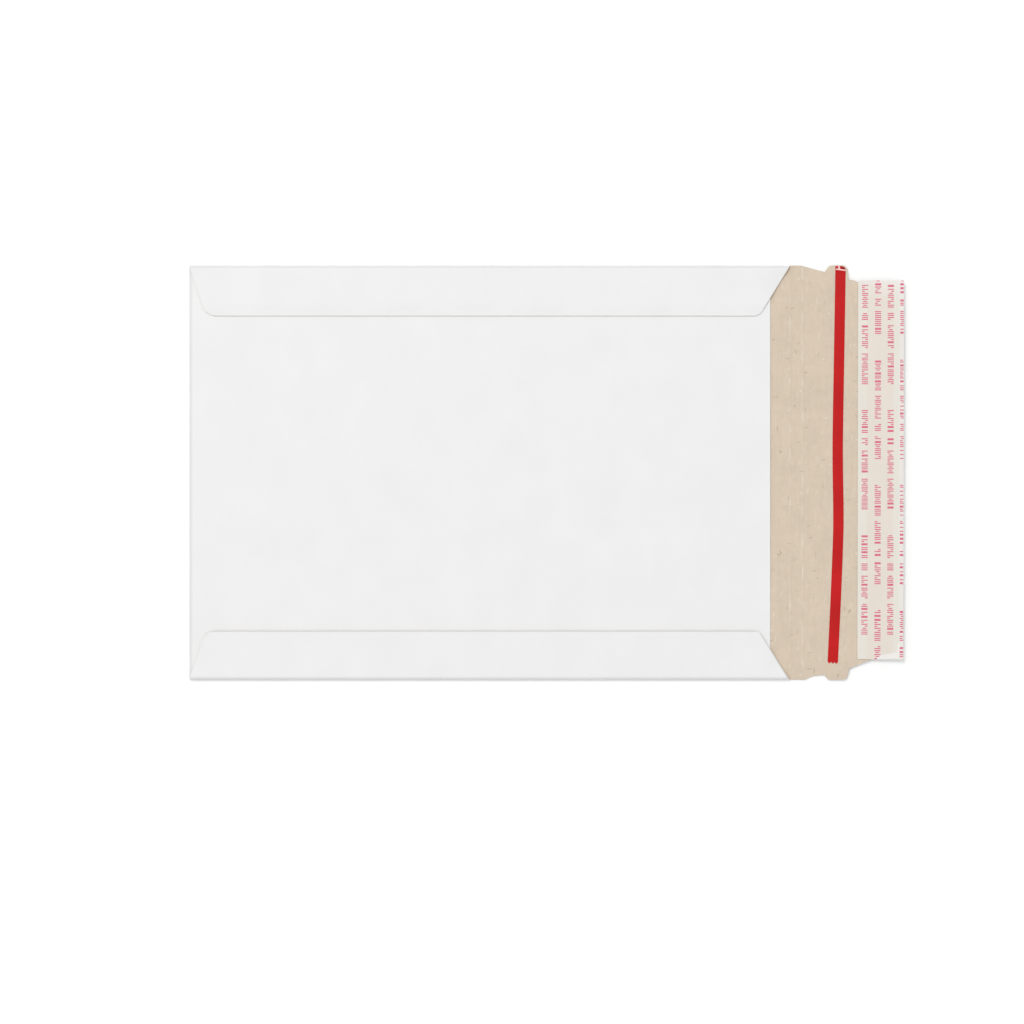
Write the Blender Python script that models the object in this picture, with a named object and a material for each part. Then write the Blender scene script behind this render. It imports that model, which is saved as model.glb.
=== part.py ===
"""Board mailing envelope with a peel-and-seal flap and a tear strip.

The envelope is one die-cut sheet of solid board.  It folds once at the
bottom, where the back panel turns over the front panel, and once along
each long side, where a lap turns over the back panel and is glued.  The
closing flap lies open.  Every piece is drawn flat, as it is cut, and is
then carried to its place by the folds.

Lengths are in metres.  +X runs from the bottom fold to the flap, +Z is up,
and the front panel lies face down on z = 0.
"""
import math

import bpy
import bmesh
from mathutils import Vector

MM = 0.001

# Folded envelope
POCKET_LENGTH = 235.0 * MM
POCKET_WIDTH = 162.0 * MM
BOARD = 0.45 * MM
POCKET_GAP = 0.4 * MM
SEAM_GAP = 0.25 * MM

# Back panel
MOUTH_SETBACK = 7.6 * MM
BACK_RELIEF = 1.4 * MM
MOUTH_CORNER = 1.0 * MM
CROWN = 0.2 * MM
CROWN_HALF_WIDTH = 58.0 * MM

# Side laps, on the left (+Y) and on the right (-Y)
LAP_WIDTHS = {1: 19.75 * MM, -1: 19.15 * MM}
LAP_BOTTOM_SLANT = math.radians(71.0)
LAP_BOTTOM_RADIUS = 5.2 * MM
LAP_MOUTH_SLANT = math.radians(58.5)
LAP_MOUTH_RADIUS = 4.2 * MM
LAP_MOUTH_CUTS = {1: 0.6 * MM, -1: 1.2 * MM}
LAP_END_GAP = 0.05 * MM
RELIEF_CUT = 0.3 * MM

# Closing flap, measured from its score
FLAP_LENGTH = 42.5 * MM
SECOND_SCORE = 4.9 * MM
SCORE_WIDTH = 1.2 * MM
SCORE_BEAD = 0.12 * MM
SCORE_TURN = math.radians(1.1)
FLAP_CURL = math.radians(0.8)
END_HALF_WIDTH = 72.9 * MM
END_CORNER = 0.8 * MM
TAB_ROOT_RADIUS = 0.3 * MM
# Its edge on the left (+Y) and on the right (-Y): shoulder, tear tab between its two roots, and
# taper, each point as (from the score, in from the pocket's side, corner radius)
FLAP_EDGES = {
    1: (
        (3.2 * MM, 0.0, 4.0 * MM),
        (13.5 * MM, 2.6 * MM, TAB_ROOT_RADIUS),
        (16.1 * MM, 0.0, 2.0 * MM),
        (22.3 * MM, 0.0, 2.6 * MM),
        (22.5 * MM, 5.5 * MM, TAB_ROOT_RADIUS),
        (25.2 * MM, 5.9 * MM, 3.0 * MM),
        (29.0 * MM, 8.1 * MM, 4.0 * MM),
    ),
    -1: (
        (5.9 * MM, 0.0, 1.5 * MM),
        (8.6 * MM, 1.45 * MM, 2.0 * MM),
        (13.6 * MM, 2.0 * MM, TAB_ROOT_RADIUS),
        (16.1 * MM, 0.0, 2.0 * MM),
        (20.6 * MM, 0.0, 3.0 * MM),
        (22.95 * MM, 4.1 * MM, TAB_ROOT_RADIUS),
        (25.0 * MM, 4.75 * MM, 1.5 * MM),
        (28.5 * MM, 8.1 * MM, 4.0 * MM),
    ),
}

# Pieces laid on the board
FILM_GAP = 0.05 * MM
TEAR_STRIP_WIDTH = 4.2 * MM
TEAR_STRIP_FILM = 0.08 * MM
TEAR_STRIP_LINE = (
    (80.7 * MM, 19.9 * MM),
    (46.0 * MM, 19.0 * MM),
    (9.0 * MM, 18.5 * MM),
    (-4.5 * MM, 18.5 * MM),
    (-11.0 * MM, 19.2 * MM),
    (-21.0 * MM, 19.3 * MM),
    (-50.0 * MM, 17.9 * MM),
    (-74.0 * MM, 16.8 * MM),
)
TIP_RADIUS = 1.7 * MM
PINKED_TEETH = 3
PINKED_DEPTH = 0.7 * MM
ADHESIVE_START = 29.9 * MM
ADHESIVE_WIDTH = 10.4 * MM
ADHESIVE_HALF_LENGTH = 72.4 * MM
ADHESIVE_FILM = 0.1 * MM
ADHESIVE_CORNER = 0.5 * MM
LINER_START = 26.5 * MM
LINER_WIDTH = 17.9 * MM
LINER_LENGTH = 148.1 * MM
LINER_OFFSET = 1.05 * MM
LINER_CORNER = 0.8 * MM
LINER_PAPER = 0.08 * MM
GLUE_WIDTH = 10.0 * MM
GLUE_INSET = 5.0 * MM
GLUE_END_MARGIN = 12.0 * MM
GLUE_FILM = 0.1 * MM
GLUE_CORNER = 2.5 * MM

# Bent outer corner of the release paper: two creases spread from one point to its lower end
CREASE_TOP = 42.2 * MM
CREASE_LENGTH = 6.5 * MM
CREASE_SPREAD = (-1.0 * MM, 0.8 * MM)
CREASE_LIFT = 0.45 * MM

# Fineness of the bends and curves
BEND_STEPS = 10
SCORE_STEPS = 4
CURL_STEPS = 6
CROWN_STEPS_ALONG = 12
CROWN_STEPS_ACROSS = 5
ARC_STEP = math.radians(9.0)
STRIP_STEPS = 4
ON_LINE = 0.001 * MM
SHARP_ANGLE = math.radians(40.0)
LEAST_FACING = 0.5
ALONG_X = Vector((1.0, 0.0, 0.0))
ALONG_Y = Vector((0.0, 1.0, 0.0))

# Places that follow from the sizes above
HALF_WIDTH = POCKET_WIDTH / 2
SIDE_HEIGHT = 3 * BOARD + POCKET_GAP + SEAM_GAP
SIDE_RADIUS = (SIDE_HEIGHT - BOARD) / 2
SIDE_FOLD = HALF_WIDTH - SIDE_HEIGHT / 2
BOTTOM_HEIGHT = 2 * BOARD + POCKET_GAP
BOTTOM_RADIUS = (BOTTOM_HEIGHT - BOARD) / 2
FLAP_RUNS = (
    (SCORE_WIDTH, SCORE_TURN),
    (SECOND_SCORE - SCORE_WIDTH, 0.0),
    (SCORE_WIDTH, SCORE_TURN),
    (FLAP_LENGTH, FLAP_CURL),
)
BOTTOM_RUNS = ((math.pi * BOTTOM_RADIUS, math.pi), (POCKET_LENGTH, 0.0))
SIDE_RUNS = ((math.pi * SIDE_RADIUS, math.pi), (POCKET_WIDTH, 0.0))


def march(runs, distance):
    """Follow (length, turn) runs and return how far forward and up they lead, and the heading."""
    forward = 0.0
    up = 0.0
    heading = 0.0
    for length, turn in runs:
        step = min(distance, length)
        if turn:
            radius = length / turn
            turned = heading + step / radius
            forward += radius * (math.sin(turned) - math.sin(heading))
            up += radius * (math.cos(heading) - math.cos(turned))
            heading = turned
        else:
            forward += step * math.cos(heading)
            up += step * math.sin(heading)
        distance -= step
        if distance <= 0.0:
            break
    return forward, up, heading


FLAP_REACH = march(FLAP_RUNS, LINER_START + LINER_WIDTH + SCORE_WIDTH / 2)[0] - SCORE_WIDTH / 2
POCKET_END = -(POCKET_LENGTH + FLAP_REACH) / 2
FLAP_SCORE = POCKET_END + POCKET_LENGTH
FLAP_BEND = FLAP_SCORE - SCORE_WIDTH / 2
BOTTOM_FOLD = POCKET_END + BOTTOM_HEIGHT / 2
MOUTH = FLAP_SCORE - MOUTH_SETBACK
FLAT_MOUTH = BOTTOM_FOLD - BOTTOM_RUNS[0][0] - (MOUTH - BOTTOM_FOLD)
LINER_END = LINER_OFFSET - LINER_LENGTH / 2


def crown(x, y):
    """Height by which the back panel springs up towards the middle of the mouth."""
    if abs(y) > CROWN_HALF_WIDTH:
        return 0.0
    across = math.cos(math.pi * y / (2 * CROWN_HALF_WIDTH)) ** 2
    along = (x - BOTTOM_FOLD) / (MOUTH - BOTTOM_FOLD)
    return CROWN * across * max(along, 0.0) ** 2


def score_bead(u):
    """Height of the bead that the creasing rule raises on the inside at each flap score."""
    height = 0.0
    for score in (FLAP_SCORE, FLAP_SCORE + SECOND_SCORE):
        off = abs(u - score) / (SCORE_WIDTH / 2)
        if off < 1.0:
            height += SCORE_BEAD * (1 + math.cos(math.pi * off)) / 2
    return height


def fold(u, v, w):
    """Carry a point of the flat sheet, w above its middle layer, to its folded place."""
    w += score_bead(u)
    if abs(v) > SIDE_FOLD and u < FLAP_SCORE - ON_LINE:
        side = math.copysign(1.0, v)
        forward, up, heading = march(SIDE_RUNS, abs(v) - SIDE_FOLD)
        x = u
        y = side * (SIDE_FOLD + forward - w * math.sin(heading))
    elif u < BOTTOM_FOLD:
        forward, up, heading = march(BOTTOM_RUNS, BOTTOM_FOLD - u)
        x = BOTTOM_FOLD - forward + w * math.sin(heading)
        y = v
        if heading > math.pi / 2:
            up += crown(x, y)
    elif u > FLAP_BEND:
        forward, up, heading = march(FLAP_RUNS, u - FLAP_BEND)
        x = FLAP_BEND + forward - w * math.sin(heading)
        y = v
    else:
        x, y, up, heading = u, v, 0.0, 0.0
    return Vector((x, y, BOARD / 2 + up + w * math.cos(heading)))


def bent_corner(u, v):
    """Height by which the outer lower corner of the release paper is bent up."""
    down = 1 - (v - LINER_END) / CREASE_LENGTH
    if down <= 0.0:
        return 0.0
    inner, outer = (FLAP_SCORE + CREASE_TOP + spread * down for spread in CREASE_SPREAD)
    rise = min(max((u - inner) / (outer - inner), 0.0), 1.0)
    return CREASE_LIFT * down * rise


def fold_liner(u, v, w):
    """Carry a point of the release paper with the flap, its bent corner too."""
    return fold(u, v, w + bent_corner(u, v))


def lay_flat(x, y, z):
    """Place of a piece that is drawn where it lies."""
    return Vector((x, y, z))


def rounded(corners):
    """Outline through (x, y, radius) corners, with an arc at each corner that has a radius."""
    points = []
    for index, (x, y, radius) in enumerate(corners):
        corner = Vector((x, y))
        if radius <= 0.0 or index in (0, len(corners) - 1):
            points.append(corner)
            continue
        before = (Vector(corners[index - 1][:2]) - corner).normalized()
        after = (Vector(corners[index + 1][:2]) - corner).normalized()
        half_angle = before.angle(after) / 2
        centre = corner + (before + after).normalized() * radius / math.sin(half_angle)
        start = corner + before * radius / math.tan(half_angle) - centre
        turn = start.angle_signed(corner + after * radius / math.tan(half_angle) - centre)
        steps = max(2, math.ceil(abs(turn) / ARC_STEP))
        for step in range(steps + 1):
            angle = -turn * step / steps
            swung = Vector((
                start.x * math.cos(angle) - start.y * math.sin(angle),
                start.x * math.sin(angle) + start.y * math.cos(angle),
            ))
            points.append(centre + swung)
    return points


def lap_corners(side):
    """Corners of one side lap in the flat sheet, from its bottom end to its mouth end."""
    turn_over = SIDE_FOLD + SIDE_RUNS[0][0]
    depth = LAP_WIDTHS[side] - SIDE_HEIGHT / 2
    clear = SIDE_FOLD + RELIEF_CUT
    bottom = POCKET_END + LAP_END_GAP
    mouth = FLAP_SCORE - RELIEF_CUT
    cut_back = mouth - LAP_MOUTH_CUTS[side]
    return [
        (BOTTOM_FOLD, clear, 0.0),
        (bottom, clear, 0.0),
        (bottom, turn_over, 0.0),
        (bottom + depth / math.tan(LAP_BOTTOM_SLANT), turn_over + depth, LAP_BOTTOM_RADIUS),
        (cut_back - depth / math.tan(LAP_MOUTH_SLANT), turn_over + depth, LAP_MOUTH_RADIUS),
        (cut_back, turn_over, 0.0),
        (mouth, SIDE_FOLD, 0.0),
    ]


def flap_corners(side):
    """Corners of one half of the closing flap, from its score to its free edge."""
    corners = [(0.0, SIDE_FOLD, 0.0), (0.0, HALF_WIDTH, 0.0)]
    corners += [(x, HALF_WIDTH - depth, radius) for x, depth, radius in FLAP_EDGES[side]]
    corners += [(FLAP_LENGTH, END_HALF_WIDTH, END_CORNER), (FLAP_LENGTH, 0.0, 0.0)]
    return [(FLAP_SCORE + x, y, radius) for x, y, radius in corners]


def half_blank(side):
    """Half of the flat blank's outline, from the middle of its mouth edge to that of its flap."""
    back_edge = HALF_WIDTH - BACK_RELIEF
    corners = [
        (FLAT_MOUTH, 0.0, 0.0),
        (FLAT_MOUTH, back_edge, MOUTH_CORNER),
        (BOTTOM_FOLD, back_edge, 0.0),
    ]
    corners += lap_corners(side)
    corners += flap_corners(side)
    return [Vector((point.x, side * point.y)) for point in rounded(corners)]


def blank_outline():
    """Whole outline of the flat blank, anticlockwise seen from its inside."""
    left = half_blank(1)
    right = half_blank(-1)
    return right[1:-1] + left[::-1][1:-1]


def smooth_line(points, steps):
    """Points of a smooth curve that runs through all the given ones."""
    knots = [Vector(point) for point in points]
    padded = [knots[0] * 2 - knots[1], *knots, knots[-1] * 2 - knots[-2]]
    line = []
    for a, b, c, d in zip(padded, padded[1:], padded[2:], padded[3:]):
        for step in range(steps):
            t = step / steps
            slope = (c - a) * t
            bend = (a * 2 - b * 5 + c * 4 - d) * t * t
            twist = (b * 3 - a - c * 3 + d) * t * t * t
            line.append((b * 2 + slope + bend + twist) / 2)
    line.append(knots[-1])
    return line


def tear_strip_outline():
    """Outline of the tape along its wandering line, with a pinked end and a rounded tip."""
    line = [Vector((FLAP_SCORE + across, along)) for along, across in
            smooth_line(TEAR_STRIP_LINE, STRIP_STEPS)]
    upper = []
    lower = []
    for before, point, after in zip([line[0], *line], line, [*line[1:], line[-1]]):
        sideways = (after - before).normalized().orthogonal() * (TEAR_STRIP_WIDTH / 2)
        upper.append(point + sideways)
        lower.append(point - sideways)
    ahead = (line[-1] - line[-2]).normalized() * PINKED_DEPTH
    teeth = []
    for index in range(1, 2 * PINKED_TEETH):
        edge_point = lower[-1].lerp(upper[-1], index / (2 * PINKED_TEETH))
        teeth.append(edge_point + ahead * (index % 2))
    tip = rounded([(*upper[1], 0.0), (*upper[0], TIP_RADIUS), (*lower[0], 0.0)])[1:-1]
    return lower + teeth + upper[:0:-1] + tip


def bar_outline(left, right, bottom, top, radius):
    """Rectangle with rounded corners."""
    middle = (left + right) / 2
    corners = [
        (middle, bottom, 0.0),
        (right, bottom, radius),
        (right, top, radius),
        (left, top, radius),
        (left, bottom, radius),
        (middle, bottom, 0.0),
    ]
    return rounded(corners)[:-1]


def cuts(places, direction):
    """Parallel lines, as a point and a normal each, at distances along a direction."""
    return [(direction * place, direction) for place in places]


def flap_cuts():
    """Lines across the flap along which the flat pieces are divided, so that they can bend."""
    lines = []
    for start in (FLAP_BEND, FLAP_BEND + SECOND_SCORE):
        lines += [start + SCORE_WIDTH * step / SCORE_STEPS for step in range(SCORE_STEPS + 1)]
    curl_start = lines[-1]
    curl_length = FLAP_SCORE + FLAP_LENGTH - curl_start
    lines += [curl_start + curl_length * step / CURL_STEPS for step in range(1, CURL_STEPS)]
    return cuts(lines, ALONG_X)


def crease_cuts():
    """Lines along which the release paper is divided, so that its corner can bend."""
    top = Vector((FLAP_SCORE + CREASE_TOP, LINER_END + CREASE_LENGTH, 0.0))
    lines = [(top, ALONG_Y)]
    for spread in CREASE_SPREAD:
        lines.append((top, Vector((CREASE_LENGTH, spread, 0.0)).normalized()))
    return lines


def blank_cuts():
    """Lines across and along the whole blank along which it is divided."""
    bend = BOTTOM_RUNS[0][0]
    across = [BOTTOM_FOLD - bend * step / BEND_STEPS for step in range(BEND_STEPS + 1)]
    panel_start = across[-1]
    panel_step = (FLAT_MOUTH - panel_start) / CROWN_STEPS_ALONG
    across += [panel_start + panel_step * step for step in range(1, CROWN_STEPS_ALONG)]

    along = [0.0]
    for side in (1, -1):
        for step in range(1, CROWN_STEPS_ACROSS + 1):
            along.append(side * CROWN_HALF_WIDTH * step / CROWN_STEPS_ACROSS)
        for step in range(BEND_STEPS + 1):
            along.append(side * (SIDE_FOLD + SIDE_RUNS[0][0] * step / BEND_STEPS))
    return cuts(across, ALONG_X) + flap_cuts() + cuts(along, ALONG_Y)


def divide(sheet, lines):
    """Divide a flat sheet along straight lines."""
    for point, normal in lines:
        bmesh.ops.bisect_plane(
            sheet,
            geom=sheet.verts[:] + sheet.edges[:] + sheet.faces[:],
            dist=ON_LINE,
            plane_co=point,
            plane_no=normal,
        )


def linear(hex_color):
    """Linear RGBA of an sRGB colour given as six hex digits."""
    channels = []
    for start in (0, 2, 4):
        value = int(hex_color[start:start + 2], 16) / 255
        if value <= 0.04045:
            channels.append(value / 12.92)
        else:
            channels.append(((value + 0.055) / 1.055) ** 2.4)
    return (*channels, 1.0)


def make_material(name, hex_color, roughness):
    """Principled material of one colour; nothing on the envelope is metal."""
    material = bpy.data.materials.new(name)
    material.use_nodes = True
    shader = material.node_tree.nodes["Principled BSDF"]
    shader.inputs["Base Color"].default_value = linear(hex_color)
    shader.inputs["Roughness"].default_value = roughness
    shader.inputs["Metallic"].default_value = 0.0
    material.diffuse_color = linear(hex_color)
    return material


def make_sheet(name, outline, levels, place, lines, materials):
    """Cut a sheet to its outline, give it thickness between two levels and carry it into place.

    It is divided along the given lines.  materials holds that of its lower face and edges,
    and then that of its upper face.
    """
    bottom, top = levels
    sheet = bmesh.new()
    sheet.faces.new([sheet.verts.new((point.x, point.y, bottom)) for point in outline])
    divide(sheet, lines)
    raised = bmesh.ops.extrude_face_region(sheet, geom=sheet.faces[:])
    for item in raised["geom"]:
        if isinstance(item, bmesh.types.BMVert):
            item.co.z = top
    bmesh.ops.recalc_face_normals(sheet, faces=sheet.faces[:])
    for face in sheet.faces:
        face.smooth = abs(face.normal.z) > LEAST_FACING
        face.material_index = len(materials) - 1 if face.normal.z > LEAST_FACING else 0
    for vertex in sheet.verts:
        vertex.co = place(*vertex.co)
    mesh = bpy.data.meshes.new(name)
    sheet.to_mesh(mesh)
    sheet.free()
    for material in materials:
        mesh.materials.append(material)
    mesh.set_sharp_from_angle(angle=SHARP_ANGLE)
    piece = bpy.data.objects.new(name, mesh)
    bpy.context.collection.objects.link(piece)
    return piece


def make_folded_board():
    """One-piece board: front panel, back panel, two side laps and the closing flap."""
    white = make_material("white_lined_board", "EDEDEE", 0.55)
    grey = make_material("uncoated_board_inside", "D8C8B4", 0.9)
    levels = (-BOARD / 2, BOARD / 2)
    return make_sheet("folded_board", blank_outline(), levels, fold, blank_cuts(), (white, grey))


def make_seam_glue(name, side):
    """Glue film between one side lap and the back panel under it."""
    outer = HALF_WIDTH - GLUE_INSET
    inner = outer - GLUE_WIDTH
    outline = bar_outline(
        POCKET_END + GLUE_END_MARGIN,
        MOUTH - GLUE_END_MARGIN,
        min(side * inner, side * outer),
        max(side * inner, side * outer),
        GLUE_CORNER,
    )
    bottom = BOTTOM_HEIGHT + (SEAM_GAP - GLUE_FILM) / 2
    levels = (bottom, bottom + GLUE_FILM)
    glue = make_material(name, "F1EDE0", 0.6)
    return make_sheet(name, outline, levels, lay_flat, (), (glue,))


def make_tear_strip():
    """Red film tape stuck across the inside of the flap, from tab to tab."""
    bottom = BOARD / 2 + FILM_GAP
    levels = (bottom, bottom + TEAR_STRIP_FILM)
    film = make_material("red_film_tape", "C52C2D", 0.35)
    return make_sheet("tear_strip", tear_strip_outline(), levels, fold, flap_cuts(), (film,))


def make_flap_adhesive():
    """Permanent adhesive band near the free edge of the flap."""
    bottom = BOARD / 2 + FILM_GAP
    levels = (bottom, bottom + ADHESIVE_FILM)
    left = FLAP_SCORE + ADHESIVE_START
    outline = bar_outline(
        left,
        left + ADHESIVE_WIDTH,
        -ADHESIVE_HALF_LENGTH,
        ADHESIVE_HALF_LENGTH,
        ADHESIVE_CORNER,
    )
    glue = make_material("transfer_adhesive", "E8DCC4", 0.3)
    return make_sheet("flap_adhesive", outline, levels, fold, flap_cuts(), (glue,))


def make_release_liner():
    """Release paper over the adhesive band, which stands past the flap's free edge."""
    bottom = BOARD / 2 + FILM_GAP + ADHESIVE_FILM + FILM_GAP
    levels = (bottom, bottom + LINER_PAPER)
    left = FLAP_SCORE + LINER_START
    outline = bar_outline(
        left, left + LINER_WIDTH, LINER_END, LINER_END + LINER_LENGTH, LINER_CORNER)
    paper = make_material("release_paper", "EAE4DA", 0.45)
    lines = flap_cuts() + crease_cuts()
    return make_sheet("release_liner", outline, levels, fold_liner, lines, (paper,))


def main():
    for item in list(bpy.data.objects):
        bpy.data.objects.remove(item, do_unlink=True)
    board = make_folded_board()
    pieces = [
        make_seam_glue("left_seam_glue", 1),
        make_seam_glue("right_seam_glue", -1),
        make_tear_strip(),
        make_flap_adhesive(),
        make_release_liner(),
    ]
    for piece in pieces:
        piece.parent = board


main()
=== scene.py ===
"""Looks of a solid-board mailing envelope that lies open, seam side up.

The board, the tear tape, the adhesive and the release paper are each cut flat, given
their thickness with rounded edges, and carried by the folds to where the frame has them.
Lengths are in metres.  On a flat sheet u runs from the bottom fold to the flap, v runs
across the envelope, and w runs through the sheet towards its inside.
"""
import math
import random

import bpy
from bpy.props import FloatProperty, FloatVectorProperty, PointerProperty
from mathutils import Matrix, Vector, noise
from mathutils.geometry import delaunay_2d_cdt


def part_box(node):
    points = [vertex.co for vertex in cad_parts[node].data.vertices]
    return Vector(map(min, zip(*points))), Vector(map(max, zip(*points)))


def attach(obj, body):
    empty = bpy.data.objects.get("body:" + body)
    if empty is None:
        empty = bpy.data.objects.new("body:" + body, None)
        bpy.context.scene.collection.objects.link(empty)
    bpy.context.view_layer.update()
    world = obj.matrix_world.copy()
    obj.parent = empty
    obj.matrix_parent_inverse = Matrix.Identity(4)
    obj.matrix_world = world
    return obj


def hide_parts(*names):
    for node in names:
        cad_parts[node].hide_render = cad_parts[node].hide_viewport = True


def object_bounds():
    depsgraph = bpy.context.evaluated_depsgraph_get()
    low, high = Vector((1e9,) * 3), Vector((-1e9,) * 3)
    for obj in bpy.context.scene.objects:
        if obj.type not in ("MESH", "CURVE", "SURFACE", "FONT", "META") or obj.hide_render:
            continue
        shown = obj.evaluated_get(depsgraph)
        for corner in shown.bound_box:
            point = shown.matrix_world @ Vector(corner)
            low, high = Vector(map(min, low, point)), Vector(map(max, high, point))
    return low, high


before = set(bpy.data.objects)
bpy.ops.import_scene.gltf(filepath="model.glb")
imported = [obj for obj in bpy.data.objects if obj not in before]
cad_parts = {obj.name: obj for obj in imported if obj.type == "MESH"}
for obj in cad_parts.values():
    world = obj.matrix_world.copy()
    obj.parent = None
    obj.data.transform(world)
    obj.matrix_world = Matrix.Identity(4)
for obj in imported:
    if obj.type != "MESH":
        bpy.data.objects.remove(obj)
CAD_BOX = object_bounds()

bl_info = {
    "name": "Board Envelope Looks",
    "version": (1, 0, 0),
    "blender": (4, 5, 0),
    "location": "View3D > Sidebar > Envelope",
    "description": "Builds the board, tape and release paper of an envelope, and its studio",
    "category": "Object",
}

MM = 0.001


def mm(*lengths):
    """Lengths in metres of lengths that are given in millimetres."""
    return tuple(length * MM for length in lengths)


# Closing flap, measured from its first score and from the middle of its width
END_HALF_WIDTH = 72.9 * MM
END_CORNER = 0.8 * MM
# Its edge on the left (+Y) and on the right (-Y): shoulder, tear tab between its two roots, and
# taper, each point as (from the score, in from the pocket's side, corner radius)
FLAP_EDGES = {
    1: (
        mm(4.2, 0.0, 3.0), mm(13.5, 2.6, 0.3), mm(15.3, 0.0, 1.8), mm(22.4, 0.0, 2.2),
        mm(22.8, 5.5, 0.3), mm(25.2, 5.9, 3.0), mm(29.0, 8.1, 4.0),
    ),
    -1: (
        mm(5.9, 0.0, 1.5), mm(8.6, 1.45, 2.0), mm(13.4, 2.0, 0.3), mm(14.9, 0.0, 1.4),
        mm(22.3, 0.0, 2.3), mm(23.1, 4.4, 0.3), mm(27.0, 6.15, 3.0), mm(32.0, 8.1, 4.0),
    ),
}
# Its creased scores, and how far each of them and the flap itself turn
SCORE_WIDTH = 1.2 * MM
SCORE_TURN = math.radians(1.1)
FLAP_CURL = math.radians(0.8)

# Side laps and back panel
LAP_BOTTOM_SLANT = math.radians(71.0)
LAP_BOTTOM_RADIUS = 5.2 * MM
LAP_MOUTH_SLANT = math.radians(58.5)
LAP_MOUTH_RADIUS = 4.2 * MM
# How far from the flap's score each lap's mouth end starts at the side fold
LAP_MOUTH_CUTS = {1: 0.6 * MM, -1: 1.0 * MM}
LAP_END_GAP = 0.35 * MM
RELIEF_CUT = 0.3 * MM
SCORE_SLIT = 0.06 * MM
MOUTH_CORNER = 1.0 * MM
CROWN_HALF_WIDTH = 58.0 * MM
GLUE_REACH = 15.0 * MM
# How far past the mouth edge and off the side fold a lap takes to sink onto the front panel
SINK_ALONG = 4.0 * MM
SINK_ACROSS = 4.0 * MM
# How far from the bottom fold a lap takes to rise off the back panel
REST_ALONG = 12.0 * MM
# How far before the mouth and off the side folds the pocket takes to close up
PRESS_ALONG = 30.0 * MM
PRESS_ACROSS = 12.0 * MM

# Slow waves, as (wavelength along, wavelength across, seed), with 1 where only one way counts
PANEL_WAVE = (45 * MM, 60 * MM, 0.0)
LAP_WAVE = (30 * MM, 1.0, 2.0)
FLAP_WAVE = (30 * MM, 50 * MM, 7.0)
INNER_EDGE_WAVE = (1.0, 18 * MM, 5.0)
OUTER_EDGE_WAVE = (1.0, 26 * MM, 9.0)
TORN_WAVE = (0.7 * MM, 1.0, 3.0)
# Share of the back panel over which its waves grow, and how far past its score the flap's waves
# start and over what length they grow
PANEL_WAVE_RISE = 0.125
FLAP_WAVE_START = 8 * MM
FLAP_WAVE_RISE = 34 * MM

# Dots of glue that show through the left lap, as places from the bottom end
GLUE_DOTS = mm(23.6, 35.3, 49.1, 64.7, 74.5)
GLUE_DOT_ACROSS = 74.8 * MM
GLUE_DOT_RADIUS = 1.7 * MM

# Middle line of the tear tape, as (across, from the flap's score) points
TAPE_LINE = (
    mm(80.7, 19.7), mm(44.6, 19.1), mm(17.2, 18.65), mm(3.0, 18.6),
    mm(-15.6, 18.85), mm(-26.5, 18.7), mm(-48.4, 17.85), mm(-74.0, 16.65),
)
TIP_RADIUS = 1.7 * MM
PINKED_TEETH = 3
PINKED_DEPTH = 0.7 * MM
# Creases at the tape's tip: two ends, as (from the flap's score, across) points, and a width
TAPE_CREASES = (
    (mm(18.1, 79.5), mm(21.8, 79.0), 0.5 * MM),
    (mm(19.0, 80.6), mm(19.2, 79.6), 0.6 * MM),
)
# Painted shade on the film beyond the crease, where it tilts out of the light: two ends and a
# width
TAPE_SHADE = (mm(20.5, 80.1), mm(21.6, 79.75), 0.9 * MM)

# Rounding of a film's edge, as a share of its thickness
FILM_EDGE = 0.25
# Gap that touching films keep
FILM_GAP = 0.05 * MM
ADHESIVE_CORNER = 0.5 * MM

# Bent outer corner of the release paper: two creases spread from one point to its lower end
CREASE_TOP = 42.2 * MM
CREASE_LENGTH = 6.5 * MM
CREASE_SPREAD = mm(-1.0, 0.8)
# Painted highlights on the paper at that corner and along the upper end, the one on the crease
# also
# for whitening: two ends, as (from the flap's score, from the paper's lower end) points, and a
# width.  Only the soft edge of the last is on the paper
PAPER_HIGHLIGHT_STREAKS = (
    (mm(34.9, 0.3), mm(41.0, 1.6), 2.2 * MM),
    (mm(42.6, 6.0), mm(42.0, 0.1), 0.5 * MM),
    (mm(40.4, 163.0), mm(44.5, 163.0), 36.0 * MM),
)

# Torn fibres at the inner lower corner of the release paper
TORN_LENGTH = 6.0 * MM
TORN_STEP = 0.3 * MM
TORN_DEPTH = 0.35 * MM

# Printed marks: rows of bars and blocks in groups, with one motif in each cell of a group
MARK_CELL = 1.55 * MM
MARK_GROUPS = (6, 2, 6, 8)
GROUP_GAP = 1.7 * MM
# Phrases of four groups, enough of them to cover the paper whichever way a row runs
PHRASES = range(-3, 4)
PHRASE_PITCH = 48.9 * MM
MARK_SEED = 11
PAPER_MARGIN = 0.12 * MM
LEAST_BLOCK = 0.15 * MM
# Rows of marks, as (middle from the paper's inner edge, which way it runs, start of a phrase)
MARK_ROWS = (
    (2.7 * MM, -1, 73.4 * MM),
    (7.8 * MM, 1, 5.2 * MM),
    (12.75 * MM, -1, 73.4 * MM),
    (17.6 * MM, 1, 5.2 * MM),
)
# Each motif is a few blocks, as (start, end, lower end, upper end) in shares of the cell
MOTIFS = (
    ((0.06, 0.33, 0.0, 1.0), (0.53, 0.8, 0.0, 1.0)),
    ((0.06, 0.33, 0.0, 1.0), (0.53, 0.8, 0.0, 0.45)),
    ((0.06, 0.33, 0.0, 1.0), (0.53, 0.8, 0.55, 1.0)),
    ((0.06, 0.33, 0.2, 0.8), (0.53, 0.8, 0.0, 1.0)),
    ((0.06, 0.6, 0.0, 1.0),),
)

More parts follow.
